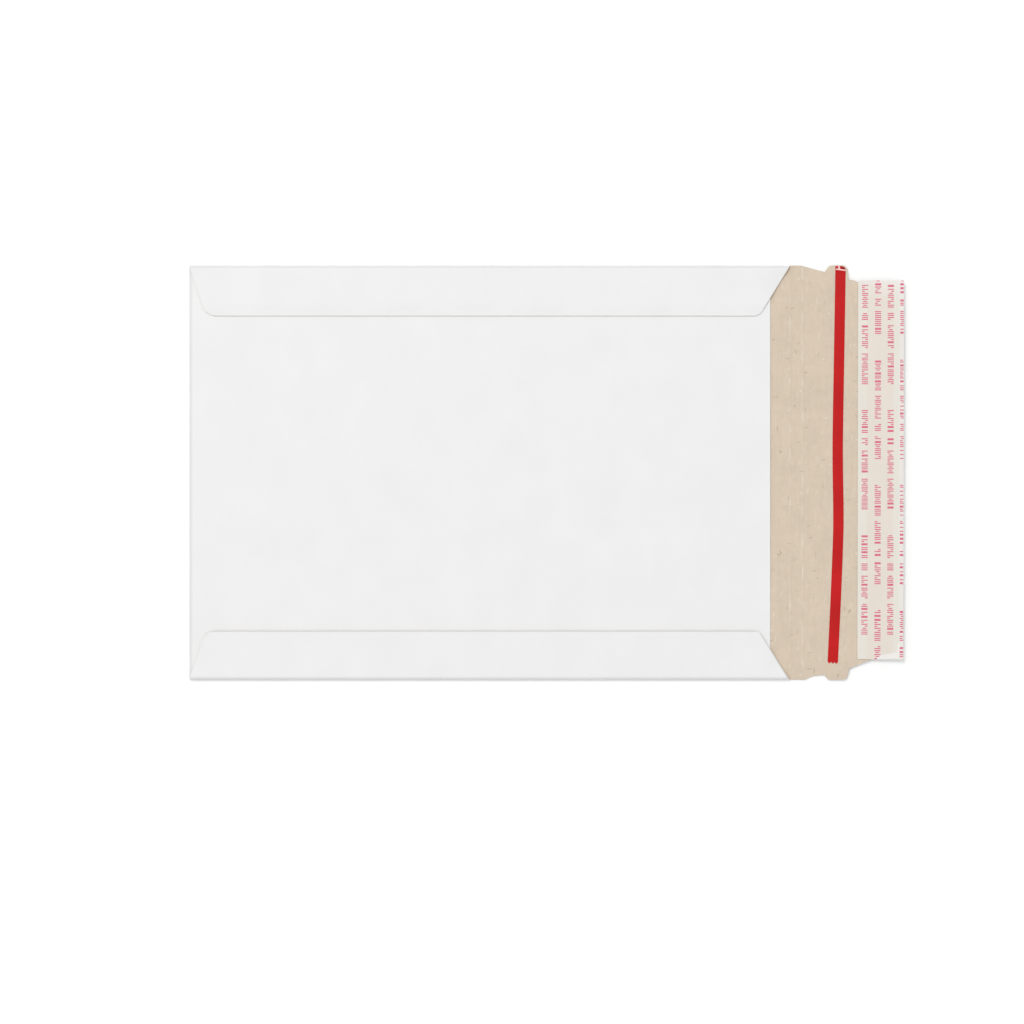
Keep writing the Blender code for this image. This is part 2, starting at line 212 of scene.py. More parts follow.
# Masks: the range that most noise keeps to, the solid share of a line, the soft share and the
# strength of a streak, and the rim and the core of a speck as shares of its size
NOISE_RANGE = (0.3, 0.7)
LINE_CORE = 0.25
STREAK_BLUR = 0.3
STREAK_STRENGTH = 0.95
SPECK_RIM = 0.6
SPECK_CORE = 0.15
# How far a kind of speck is moved off the others, for each millimetre of its length
SPECK_SHIFT = 7.0

# Painted shade lines on the board's outside, and pale lines along the inside scores: how far
# inside a fold a shade line lies, how far each line reaches in millimetres, and how wide the
# painted shadow along the right lap's slanted mouth end is
SHADE_LINE_INSET = 0.2 * MM
SIDE_FOLD_SHADE = 0.55
BOTTOM_FOLD_SHADE = 0.7
LAP_EDGE_SHADE = 0.5
SCORE_WEAR_AND_HIGHLIGHT = 0.45
SLANT_SHADE_WIDTH = 0.65 * MM
# How many times as strong the painted shadow along the right lap's edges is as the painted shade
# at a fold, the strength that gives the darkest tone, and that tone
EDGE_SHADE_STRENGTH = 2.6
FULL_SHADE = 3.0
SHADED_TONE = 0.7
# Depth in a cut edge at which the white liner ends, in millimetres, as its rim and its core
LINER_DEPTH = (0.07, 0.04)
# Mottling of the board's inside: lengths of its clouds in millimetres, and its depth
MOTTLING = (
    ((9.0, 12.0, 9.0), 0.027),
    ((2.2, 3.0, 2.2), 0.0235),
    ((1.2, 9.0, 1.2), 0.0185),
)
# Specks and fibres there, as (length, width, number in a square centimetre, turn, whether pale),
# and how far in millimetres they bend, over what length
SPECKS = (
    (1.4, 1.0, 0.6, 0.4, False),
    (1.0, 0.9, 1.0, 0.0, True),
    (3.0, 0.5, 1.5, 1.5, True),
    (2.4, 0.5, 0.7, 1.7, False),
    (2.2, 0.5, 0.5, 0.1, False),
    (2.0, 0.5, 0.8, 0.8, True),
)
SPECK_BEND = (2.0, 2.0, 0.0)
SPECK_BEND_LENGTH = 2.5
# Blur in millimetres of the adhesive's edge, and of the board's edge, under the release paper
ADHESIVE_BLUR = 0.3
BOARD_BLUR = 0.2

# Stage: half the floor's width, its gap under the envelope, where its glow starts to grow and is
# full, from its middle, which way the lamp lies, and the width of the camera's sensor
FLOOR_HALF_WIDTH = 2.0
FLOOR_GAP = 0.02 * MM
GLOW_SPREAD = (0.16, 0.9)
LAMP_DIRECTION = Vector((-0.27, 0.42, 0.87)).normalized()
SENSOR_WIDTH = 36.0

# Fineness of the meshes
FOLD_STEPS = 16
SCORE_STEPS = 8
EDGE_STEPS = 2
CREASE_STEPS = 4
PANEL_CELL = 2.6 * MM
LAP_CELL = 1.25 * MM
PAPER_CELL = 1.5 * MM
TAPE_STEPS = 24
TAPE_SHARES = (-0.9, -0.7, -0.45, -0.15, 0.15, 0.45, 0.7, 0.9)
ARC_STEP = math.radians(4.0)
LEAST_ARC_STEPS = 3
WELD = 0.001 * MM
# Least cosine that the shift of an outline's corner is divided by, so that it stays short
MITRE_LIMIT = 0.5


def linear(hex_colour):
    """Linear RGBA of an sRGB colour given as six hex digits."""
    values = [channel / 255 for channel in bytes.fromhex(hex_colour)]
    return (*(
        value / 12.92 if value <= 0.04045 else ((value + 0.055) / 1.055) ** 2.4
        for value in values
    ), 1.0)


def size(name, description, millimetres):
    """Property that holds a length."""
    return FloatProperty(
        name=name, description=description, default=millimetres * MM, unit="LENGTH", precision=5)


def amount(name, description, default):
    """Property that holds a plain strength."""
    return FloatProperty(name=name, description=description, default=default, min=0.0)


def colour(name, description, hex_colour):
    """Property that holds a colour."""
    return FloatVectorProperty(
        name=name, description=description, default=linear(hex_colour), size=4,
        min=0.0, max=1.0, subtype="COLOR")


class EnvelopeBoardSettings(bpy.types.PropertyGroup):
    """Sizes and colours of the folded board."""

    thickness: size("Thickness", "Thickness of the solid board", 0.45)
    pocket_length: size("Pocket length", "From the bottom fold to the flap's score", 235.0)
    pocket_gap: size("Pocket gap", "Clear height inside the flat pocket", 0.4)
    seam_gap: size("Seam gap", "Gap between a side lap and the back panel", 0.25)
    mouth_setback: size("Mouth setback", "From the mouth edge to the flap's score", 7.8)
    back_relief: size("Back relief", "Set-back of the back panel from each side", 1.4)
    left_lap: size("Left lap", "Width of the lap on the left", 19.75)
    right_lap: size("Right lap", "Width of the lap on the right", 19.15)
    flap_length: size("Flap length", "From the first score to the flap's free edge", 42.5)
    second_score: size("Second score", "From the first score to the second", 4.9)
    score_bead: size("Score bead", "Height of the bead that the creasing rule raises", 0.12)
    crown: size("Crown", "Spring of the back panel at the middle of its mouth", 0.08)
    lap_spring: size("Lap spring", "Slow waves of each lap's free strip past its glue", 0.06)
    left_settle: size("Left settle", "Drop of the left lap's free edge to the panel", 0.24)
    lap_rest: size("Lap rest", "Drop of each lap's bottom end to the panel", 0.2)
    lap_sink: size("Lap sink", "Drop of each lap past the mouth edge", 0.6)
    mouth_press: size("Mouth press", "How far the pocket closes up at its mouth", 0.38)
    glue_dot: size("Glue dot", "Height of a glue dot under the lap", 0.06)
    waviness: size("Waviness", "Height of the slow waves in the panels", 0.06)
    edge_radius: size("Edge radius", "Rounding of the die-cut edges", 0.05)
    outside: colour("Outside", "White-lined outside", "EFEFEF")
    inside: colour("Inside", "Unlined grey-brown inside", "D8C8B4")
    dark_speck: colour("Dark speck", "Dark specks and fibres of the inside", "BBAB97")
    pale_speck: colour("Pale speck", "Pale specks and fibres of the inside", "E5DAC9")
    # Rubbed fibres along a score, painted paler still as a highlight on its bead
    painted_light_line: colour("Worn", "Inside rubbed pale along a score", "EADFD1")
    core: colour("Core", "Plies in the cut edge", "D2C4B0")


class EnvelopeTapeSettings(bpy.types.PropertyGroup):
    """Sizes and colours of the tear tape."""

    width: size("Width", "Width of the tape", 4.05)
    film: size("Film", "Thickness of the tape", 0.08)
    crown: size("Crown", "How far the tape's middle stands above its edges", 0.08)
    ridge: size("Ridge", "Height of the creases at the tape's tip", 0.25)
    film_colour: colour("Film colour", "Film dyed red through", "C41F20")
    # Whitened film in a crease, painted light as a highlight
    crease_whitening_and_highlight: colour("Crease colour", "Stress-whitened film in a crease", "FFDAD4")
    shade_colour: colour("Shade colour", "Film that tilts out of the light", "94202B")


class EnvelopePaperSettings(bpy.types.PropertyGroup):
    """Sizes and colours of the release paper, its print and the adhesives."""

    start: size("Start", "From the flap's first score to the paper", 26.5)
    width: size("Width", "Width of the release paper", 17.9)
    paper: size("Paper", "Thickness of the release paper", 0.08)
    corner: size("Corner", "Radius of the paper's corners", 0.8)
    skew: size("Skew", "How far the paper's lower end is laid inwards", 0.3)
    edge_wave: size("Edge wave", "Lift of the unbonded edges", 0.06)
    crease_lift: size("Crease lift", "Lift of the bent outer corner", 0.45)
    mark_height: size("Mark height", "Height of a row of printed marks", 2.4)
    adhesive_start: size("Adhesive start", "From the first score to the adhesive", 29.9)
    adhesive_width: size("Adhesive width", "Width of the adhesive band", 10.4)
    adhesive_film: size("Adhesive film", "Thickness of the adhesive", 0.1)
    free_colour: colour("Free colour", "Release paper with nothing under it", "EAE6DF")
    edge_colour: colour("Edge colour", "Release paper over bare board", "E7E2D8")
    # Painted highlight, with whitening where the paper is creased
    bonded_colour: colour("Bonded colour", "Release paper wetted by the adhesive", "E6DDD2")
    bend_whitening_and_highlight: colour("Bent colour", "Release paper whitened by a bend", "F1EEEA")
    ink_colour: colour("Ink colour", "Printed marks", "DA5E7E")
    adhesive_colour: colour("Adhesive colour", "Straw-coloured adhesive", "E8DCC4")
    glue_colour: colour("Glue colour", "Dried glue in the side seams", "F1EDE0")


class EnvelopeStudioSettings(bpy.types.PropertyGroup):
    """Camera, light and floor."""

    camera_x: size("Camera X", "Place of the camera along the envelope", -13.45)
    camera_y: size("Camera Y", "Place of the camera across the envelope", -15.4)
    camera_height: size("Camera height", "Height of the camera over the floor", 1113.0)
    lens: FloatProperty(
        name="Lens", description="Focal length in millimetres", default=100.0, unit="CAMERA")
    lamp_distance: size("Lamp distance", "From the envelope to the soft lamp", 4000.0)
    lamp_size: size("Lamp size", "Side of the square soft lamp", 1600.0)
    lamp_power: FloatProperty(
        name="Lamp power", description="Power of the soft lamp", default=58.0, unit="POWER")
    sky: amount("Sky", "Strength of the room's light overhead", 0.85)
    horizon: amount("Horizon", "Strength of the room's light at the horizon", 0.35)
    floor_colour: colour("Floor colour", "Matt pale floor", "FAFAFA")
    floor_glow: amount("Floor glow", "Lift of the floor to white beside the envelope", 0.085)
    far_glow: amount("Far glow", "Lift of the floor to white far from the envelope", 0.4)


def march(runs, distance):
    """Follow (length, turn) runs and return how far forward and up they lead, and the heading."""
    forward = up = heading = 0.0
    for length, turn in runs:
        step = min(distance, length)
        if turn:
            radius = length / turn
            turned = heading + step / radius
            forward += radius * (math.sin(turned) - math.sin(heading))
            up += radius * (math.cos(heading) - math.cos(turned))
            heading = turned
        else:
            forward += step * math.cos(heading)
            up += step * math.sin(heading)
        distance -= step
        if distance <= 0.0:
            break
    return forward, up, heading


def eased(value):
    """Ease a share between 0 and 1, and hold it at either end."""
    value = min(max(value, 0.0), 1.0)
    return value * value * (3 - 2 * value)


def wave(u, v, shape):
    """Slow random height from 0 to 1 at a place; shape holds two wavelengths and a seed."""
    along, across, seed = shape
    return 0.5 + 0.5 * noise.noise(Vector((u / along, v / across, seed)))


class Folds:
    """Where the folds, the scores and slight waves carry each point of the flat sheets."""

    def __init__(self, board):
        low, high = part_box("folded_board")
        side_height = 3 * board.thickness + board.pocket_gap + board.seam_gap
        bottom_height = 2 * board.thickness + board.pocket_gap
        self.board = board
        self.end = low.x
        self.half_width = (high.y - low.y) / 2
        self.half_side = side_height / 2
        self.side_fold = self.half_width - self.half_side
        self.side_bend = math.pi * (side_height - board.thickness) / 2
        self.bottom_bend = math.pi * (bottom_height - board.thickness) / 2
        self.bottom_fold = low.x + bottom_height / 2
        self.score = low.x + board.pocket_length
        self.scores = (self.score, self.score + board.second_score)
        self.flap_bend = self.score - SCORE_WIDTH / 2
        self.flap_end = self.score + board.flap_length
        self.mouth = self.score - board.mouth_setback
        self.flat_mouth = self.bottom_fold - self.bottom_bend - (self.mouth - self.bottom_fold)
        self.back_edge = self.half_width - board.back_relief
        self.side_runs = ((self.side_bend, math.pi), (self.half_width, 0.0))
        self.bottom_runs = ((self.bottom_bend, math.pi), (board.pocket_length, 0.0))
        self.flap_runs = (
            (SCORE_WIDTH, SCORE_TURN),
            (board.second_score - SCORE_WIDTH, 0.0),
            (SCORE_WIDTH, SCORE_TURN),
            (board.flap_length, FLAP_CURL),
        )

    def lap(self, side):
        """Width of the lap on one side."""
        return self.board.left_lap if side > 0 else self.board.right_lap

    def bead(self, u):
        """Height of the bead on the inside at each flap score."""
        height = 0.0
        for score in self.scores:
            off = abs(u - score) / (SCORE_WIDTH / 2)
            if off < 1.0:
                height += self.board.score_bead * (1 + math.cos(math.pi * off)) / 2
        return height

    def press(self, x, y):
        """How far the back panel and the laps are pressed down towards the mouth."""
        along = eased((x - self.mouth) / PRESS_ALONG + 1)
        return self.board.mouth_press * along * eased((self.side_fold - abs(y)) / PRESS_ACROSS)

    def back_relief(self, x, y):
        """Crown and slow waves of the back panel, which die out before the laps."""
        if abs(y) > CROWN_HALF_WIDTH:
            return -self.press(x, y)
        across = math.cos(math.pi * y / (2 * CROWN_HALF_WIDTH)) ** 2
        along = max((x - self.bottom_fold) / (self.mouth - self.bottom_fold), 0.0)
        waves = self.board.waviness * wave(x, y, PANEL_WAVE)
        waves *= eased(along / PANEL_WAVE_RISE)
        spring = across * (self.board.crown * along ** 2 + waves)
        return spring - self.press(x, y)

    def lap_relief(self, x, y):
        """Spring of a lap's free strip, drop of its two ends, and glue dots under the left one."""
        side = math.copysign(1.0, y)
        glue_edge = self.half_width - GLUE_REACH
        free = (glue_edge - abs(y)) / (glue_edge - (self.half_width - self.lap(side)))
        waves = self.board.lap_spring * wave(x, side, LAP_WAVE)
        settle = self.board.left_settle if side > 0 else 0.0
        height = (waves - settle) * eased(free) - self.press(x, y)
        aside = eased((self.side_fold - abs(y)) / SINK_ACROSS)
        height -= self.board.lap_sink * eased((x - self.mouth) / SINK_ALONG) * aside
        rest = self.board.lap_rest * eased(1 - (x - self.end) / REST_ALONG)
        height -= rest * aside * (1 - eased(free))
        if side > 0:
            for dot in GLUE_DOTS:
                off = Vector((x - self.end - dot, y - GLUE_DOT_ACROSS)) / GLUE_DOT_RADIUS
                height += self.board.glue_dot * math.exp(-off.length_squared)
        return height

    def flap_relief(self, u, v):
        """Slow waves of the open flap, twice as deep, as it is free on three sides."""
        along = max((u - self.score - FLAP_WAVE_START) / FLAP_WAVE_RISE, 0.0)
        return -2 * self.board.waviness * along * wave(u, v, FLAP_WAVE)

    def place(self, u, v, w):
        """Carry a point of the flat sheet, w above its middle layer, to its folded place."""
        w += self.bead(u)
        relief = 0.0
        if abs(v) > self.side_fold and u < self.score - WELD:
            side = math.copysign(1.0, v)
            forward, up, heading = march(self.side_runs, abs(v) - self.side_fold)
            x = u
            y = side * (self.side_fold + forward - w * math.sin(heading))
            if heading > math.pi / 2:
                relief = self.lap_relief(x, y)
        elif u < self.bottom_fold:
            forward, up, heading = march(self.bottom_runs, self.bottom_fold - u)
            x = self.bottom_fold - forward + w * math.sin(heading)
            y = v
            if heading > math.pi / 2:
                relief = self.back_relief(x, y)
        elif u > self.flap_bend:
            forward, up, heading = march(self.flap_runs, u - self.flap_bend)
            x = self.flap_bend + forward - w * math.sin(heading)
            y = v
            relief = self.flap_relief(u, v)
        else:
            x, y, up, heading = u, v, 0.0, 0.0
        return Vector((x, y, self.board.thickness / 2 + up + w * math.cos(heading) + relief))


def rounded(corners):
    """Outline through (x, y, radius) corners, with an arc at each corner that has a radius."""
    points = []
    for index, (x, y, radius) in enumerate(corners):
        corner = Vector((x, y))
        if radius <= 0.0 or index in (0, len(corners) - 1):
            points.append(corner)
            continue
        before = (Vector(corners[index - 1][:2]) - corner).normalized()
        after = (Vector(corners[index + 1][:2]) - corner).normalized()
        half_angle = before.angle(after) / 2
        centre = corner + (before + after).normalized() * radius / math.sin(half_angle)
        start = corner + before * radius / math.tan(half_angle) - centre
        turn = start.angle_signed(corner + after * radius / math.tan(half_angle) - centre)
        steps = max(LEAST_ARC_STEPS, math.ceil(abs(turn) / ARC_STEP))
        for step in range(steps + 1):
            angle = -turn * step / steps
            swung = Vector((
                start.x * math.cos(angle) - start.y * math.sin(angle),
                start.x * math.sin(angle) + start.y * math.cos(angle),
            ))
            points.append(centre + swung)
    return points


def bar_outline(left, right, bottom, top, radius):
    """Rectangle with rounded corners."""
    start = ((left + right) / 2, bottom, 0.0)
    corners = [(right, bottom), (right, top), (left, top), (left, bottom)]
    return rounded([start, *((x, y, radius) for x, y in corners), start])[:-1]


def between(start, end, cell):
    """Evenly spaced places between two ends, about one cell apart, without the ends."""
    count = max(1, round(abs(end - start) / cell))
    return [start + (end - start) * step / count for step in range(1, count)]


def stepped(start, length, count):
    """Places that divide a length into equal steps, with both ends."""
    return [start + length * step / count for step in range(count + 1)]


def lines_at(places, low, high):
    """Lines across the sheet at each u, from one v to another."""
    return [((place, low), (place, high)) for place in places]


def lines_along(places, low, high):
    """Lines along the sheet at each v, from one u to another."""
    return [((low, place), (high, place)) for place in places]


def crossed_lines(left, right, low, high, cell):
    """Lines both ways that divide a rectangle of a sheet into cells."""
    lines = lines_at(between(left, right, cell), low, high)
    return lines + lines_along(between(low, high, cell), left, right)


def streak(u, v, start, end, width):
    """Streak on a flat sheet, its ends measured from the place (u, v), and its width."""
    return Vector((u + start[0], v + start[1])), Vector((u + end[0], v + end[1])), width


class Blank:
    """The die-cut blank of the board, flat."""

    def __init__(self, folds):
        self.folds = folds
        self.turn_over = folds.side_fold + folds.side_bend

    def lap_edge(self, side):
        """How far from the middle of the flat blank one lap's free edge is."""
        return self.turn_over + self.folds.lap(side) - self.folds.half_side

    def mouth_slant(self, side):
        """Slanted mouth end of one lap, from its free edge to its fold."""
        edge = self.lap_edge(side)
        cut_back = self.folds.score - SCORE_SLIT - LAP_MOUTH_CUTS[side]
        corner = cut_back - (edge - self.turn_over) / math.tan(LAP_MOUTH_SLANT)
        return Vector((corner, side * edge)), Vector((cut_back, side * self.turn_over))

    def lap_corners(self, side):
        """Corners of one side lap, from its bottom end to its mouth end."""
        folds = self.folds
        edge = self.lap_edge(side)
        clear = folds.side_fold + RELIEF_CUT
        bottom = folds.end + LAP_END_GAP
        mouth = folds.score - SCORE_SLIT
        corner, cut_back = self.mouth_slant(side)
        slant = (edge - self.turn_over) / math.tan(LAP_BOTTOM_SLANT)
        return [
            (folds.bottom_fold, clear, 0.0),
            (bottom, clear, 0.0),
            (bottom, self.turn_over, 0.0),
            (bottom + slant, edge, LAP_BOTTOM_RADIUS),
            (corner.x, edge, LAP_MOUTH_RADIUS),
            (cut_back.x, self.turn_over, 0.0),
            (mouth, folds.side_fold + folds.side_bend / 2, 0.0),
            (mouth, folds.side_fold, 0.0),
        ]

    def flap_corners(self, side):
        """Corners of one half of the closing flap, from its score to its free edge."""
        edge = self.folds.half_width
        length = self.folds.board.flap_length
        corners = [(0.0, self.folds.side_fold, 0.0), (0.0, edge, 0.0)]
        corners += [(u, edge - depth, radius) for u, depth, radius in FLAP_EDGES[side]]
        corners += [(length, END_HALF_WIDTH, END_CORNER), (length, 0.0, 0.0)]
        return [(self.folds.score + u, v, radius) for u, v, radius in corners]

    def half(self, side):
        """Half of the outline, from the middle of the mouth edge to that of the flap."""
        folds = self.folds
        corners = [
            (folds.flat_mouth, 0.0, 0.0),
            (folds.flat_mouth, folds.back_edge, MOUTH_CORNER),
            (folds.bottom_fold, folds.back_edge, 0.0),
        ]
        corners += self.lap_corners(side) + self.flap_corners(side)
        return [Vector((point.x, side * point.y)) for point in rounded(corners)]

    def outline(self):
        """Whole outline, anticlockwise seen from the inside of the board."""
        return self.half(-1)[1:-1] + self.half(1)[::-1][1:-1]

    def lines(self):
        """Lines along which the blank is divided, so that it can bend and wave."""
        folds = self.folds
        wide = folds.half_width + PANEL_CELL
        bend_end = folds.bottom_fold - folds.bottom_bend
        lines = lines_at(stepped(bend_end, folds.bottom_bend, FOLD_STEPS), -wide, wide)
        lines += lines_at(between(folds.flat_mouth, bend_end, PANEL_CELL), -wide, wide)
        reach = self.turn_over + folds.board.left_lap
        lines += lines_at(between(folds.bottom_fold, folds.flap_bend, PANEL_CELL), -reach, reach)
        second = folds.flap_bend + folds.board.second_score
        for start in (folds.flap_bend, second):
            for station in stepped(start, SCORE_WIDTH, SCORE_STEPS):
                half = folds.side_fold if station < folds.score - WELD else wide
                lines += lines_at([station], -half, half)
        lines += lines_at(between(folds.flap_bend + SCORE_WIDTH, second, PANEL_CELL), -wide, wide)
        lines += lines_at(between(second + SCORE_WIDTH, folds.flap_end, PANEL_CELL), -wide, wide)
        edge = folds.back_edge - PANEL_CELL / 2
        rows = [-edge, *between(-edge, edge, PANEL_CELL), edge]
        lines += lines_along(rows, folds.flat_mouth, folds.flap_end)
        for side in (1, -1):
            rows = stepped(folds.side_fold, folds.side_bend, FOLD_STEPS)
            rows += between(self.turn_over, self.lap_edge(side), LAP_CELL)
            rows = [side * row for row in rows]
            lines += lines_along(rows, folds.end, folds.score - WELD)
        return lines


class TearTape:
    """The red tape across the flap, flat."""

    def __init__(self, folds, tape):
        self.folds = folds
        self.tape = tape
        self.line = [Vector((folds.score + u, v)) for v, u in self.middle_line()]
        self.across = []
        for before, after in zip([self.line[0], *self.line], [*self.line[1:], self.line[-1]]):
            self.across.append((after - before).normalized().orthogonal())

    def middle_line(self):
        """Points of a smooth curve through the points of the tape's line."""
        knots = [Vector(point) for point in TAPE_LINE]
        padded = [knots[0] * 2 - knots[1], *knots, knots[-1] * 2 - knots[-2]]
        line = []
        for a, b, c, d in zip(padded, padded[1:], padded[2:], padded[3:]):
            for step in range(TAPE_STEPS):
                t = step / TAPE_STEPS
                slope = (c - a) * t
                bend = (a * 2 - b * 5 + c * 4 - d) * t * t
                twist = (b * 3 - a - c * 3 + d) * t * t * t
                line.append((b * 2 + slope + bend + twist) / 2)
        line.append(knots[-1])
        return line

    def beside(self, share):
        """The middle line moved sideways by a share of the tape's half width."""
        off = self.tape.width / 2 * share
        return [point + across * off for point, across in zip(self.line, self.across)]

    def outline(self):
        """Outline of the tape, with its pinked lower end and the rounded corner of its tip."""
        upper = self.beside(1.0)
        lower = self.beside(-1.0)
        ahead = (self.line[-1] - self.line[-2]).normalized() * PINKED_DEPTH
        teeth = []
        for index in range(1, 2 * PINKED_TEETH):
            edge_point = lower[-1].lerp(upper[-1], index / (2 * PINKED_TEETH))
            teeth.append(edge_point + ahead * (index % 2))
        tip = rounded([(*upper[1], 0.0), (*upper[0], TIP_RADIUS), (*lower[0], 0.0)])[1:-1]
        return lower + teeth + upper[:0:-1] + tip

    def creases(self):
        """Ends and width of each crease at the tape's tip."""
        return [streak(self.folds.score, 0.0, *crease) for crease in TAPE_CREASES]

    def lines(self):
        """Lines along the tape and its creases, so that it can arch."""
        lines = []
        for share in TAPE_SHARES:
            row = self.beside(share)
            lines += list(zip(row, row[1:]))
        for start, end, width in self.creases():
            aside = (end - start).orthogonal().normalized() * width
            lines += [(start + aside * share, end + aside * share) for share in (-1.0, 0.0, 1.0)]
        return lines

    def height(self, u, v):
        """Arch of the tape across its width, and the ridges of the creases at its tip."""
        nearest = min(self.line, key=lambda point: abs(point.y - v))
        off = (u - nearest.x) / (self.tape.width / 2)
        ridge = 0.0
        for start, end, width in self.creases():
            along = (end - start).normalized()
            reach = (Vector((u, v)) - start).dot(along)
            reach = min(max(reach, 0.0), (end - start).length)
            away = (Vector((u, v)) - start - along * reach).length
            ridge = max(ridge, 1 - away / width)
        return self.tape.crown * max(1 - off * off, 0.0) + self.tape.ridge * ridge

    def place(self, u, v, w):
        """Carry a point of the tape with the flap."""
        return self.folds.place(u, v, w + self.height(u, v))


class ReleasePaper:
    """The printed release paper over the adhesive, flat."""

    def __init__(self, folds, paper):
        low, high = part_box("release_liner")
        self.folds = folds
        self.paper = paper
        self.low = low.y
        self.high = high.y
        self.left = folds.score + paper.start
        self.right = self.left + paper.width

    def outline(self):
        """Cut rectangle with rounded corners, torn a little at its inner lower corner."""
        cut = bar_outline(self.left, self.right, self.low, self.high, self.paper.corner)
        torn = []
        for step in range(1, round(TORN_LENGTH / TORN_STEP)):
            u = self.left + self.paper.corner + TORN_STEP * step
            fade = 1 - TORN_STEP * step / TORN_LENGTH
            torn.append(Vector((u, self.low + TORN_DEPTH * fade * wave(u, 0.0, TORN_WAVE))))
        return torn + cut

    def lines(self):
        """Lines along which the paper is divided, so that it can wave and bend at its corner."""
        lines = crossed_lines(self.left, self.right, self.low, self.high, PAPER_CELL)
        top = Vector((self.folds.score + CREASE_TOP, self.low + CREASE_LENGTH))
        near, far = CREASE_SPREAD
        for spread in stepped(near, far - near, CREASE_STEPS):
            lines.append((top, top + Vector((spread, -CREASE_LENGTH))))
        return lines

    def height(self, u, v):
        """Lift of the unbonded edges and of the bent corner above the flat paper."""
        paper = self.paper
        start = self.folds.score + paper.adhesive_start
        end = start + paper.adhesive_width
        inner = max((start - u) / (start - self.left), 0.0) ** 2 * wave(0.0, v, INNER_EDGE_WAVE)
        outer = max((u - end) / (self.right - end), 0.0) ** 2 * wave(0.0, v, OUTER_EDGE_WAVE)
        lift = paper.edge_wave * (inner + outer)
        down = 1 - (v - self.low) / CREASE_LENGTH
        if down > 0.0:
            near, far = (self.folds.score + CREASE_TOP + spread * down for spread in CREASE_SPREAD)
            lift += paper.crease_lift * down * eased((u - near) / (far - near))
        return lift

    def place(self, u, v, w):
        """Lay a point of the paper a little askew, and carry it with the flap."""
        inwards = self.paper.skew * (self.high - v) / (self.high - self.low)
        return self.folds.place(u - inwards, v, w + self.height(u, v))

    def marks(self):
        """Outlines of the printed blocks, in rows of phrases along the whole paper."""
        dice = random.Random(MARK_SEED)
        blocks = []
        for middle, way, first in MARK_ROWS:
            for phrase in PHRASES:
                along = first + phrase * PHRASE_PITCH
                for count in MARK_GROUPS:
                    for _ in range(count):
                        for block in dice.choice(MOTIFS):
                            blocks.append(self.block(self.left + middle, way, along, block))
                        along += way * MARK_CELL
                    along += way * GROUP_GAP
        return [block for block in blocks if block]

    def block(self, middle, way, along, shares):
        """Outline of one block, or nothing where the paper has ended."""
        start, end, lower, upper = shares
        height = way * self.paper.mark_height
        across = [middle - (share - 0.5) * height for share in (lower, upper)]
        left = max(min(across), self.left + PAPER_MARGIN)
        right = min(max(across), self.right - PAPER_MARGIN)
        ends = sorted(along + way * share * MARK_CELL for share in (start, end))
        bottom = max(ends[0], self.low + PAPER_MARGIN)
        top = min(ends[1], self.high - PAPER_MARGIN)
        if min(right - left, top - bottom) < LEAST_BLOCK:
            return None
        return [(left, bottom), (right, bottom), (right, top), (left, top)]


def corner_shift(before, corner, after):
    """Shift that moves both edges at a corner of an anticlockwise outline out by one."""
    first = -(corner - before).normalized().orthogonal()
    second = -(after - corner).normalized().orthogonal()
    middle = (first + second).normalized()
    return middle / max(middle.dot(first), MITRE_LIMIT)


def triangulate(outline, edge_radius, lines, shapes=()):
    """Flat triangles inside an outline, divided along lines, and whether a shape holds each.

    The outline is set in by the radius of the sheet's edge, which is added outside it later.
    """
    corners = [Vector(point) for point in outline]
    around = zip([corners[-1], *corners], corners, [*corners[1:], corners[0]])
    points = [corner - corner_shift(before, corner, after) * edge_radius
              for before, corner, after in around]
    faces = [list(range(len(points)))]
    edges = []
    for line in lines:
        edges.append((len(points), len(points) + 1))
        points += [Vector(end) for end in line]
    for shape in shapes:
        faces.append(list(range(len(points), len(points) + len(shape))))
        points += [Vector(point) for point in shape]
    places, _, triangles, _, _, origins = delaunay_2d_cdt(points, edges, faces, 1, WELD)
    kept = [(face, len(origin) > 1) for face, origin in zip(triangles, origins) if 0 in origin]
    return places, [list(face) for face, _ in kept], [held for _, held in kept]


def rim_of(places, triangles):
    """Edges of the rim, and at each of its corners the shift that moves both edges out by one."""
    sides = {(a, b) for face in triangles for a, b in zip(face, face[1:] + face[:1])}
    rim = sorted((a, b) for a, b in sides if (b, a) not in sides)
    before = {b: a for a, b in rim}
    shifts = {a: corner_shift(places[before[a]], places[a], places[b]) for a, b in rim}
    return rim, shifts


def linked(name, data):
    """New object in the scene."""
    item = bpy.data.objects.new(name, data)
    bpy.context.scene.collection.objects.link(item)
    return item


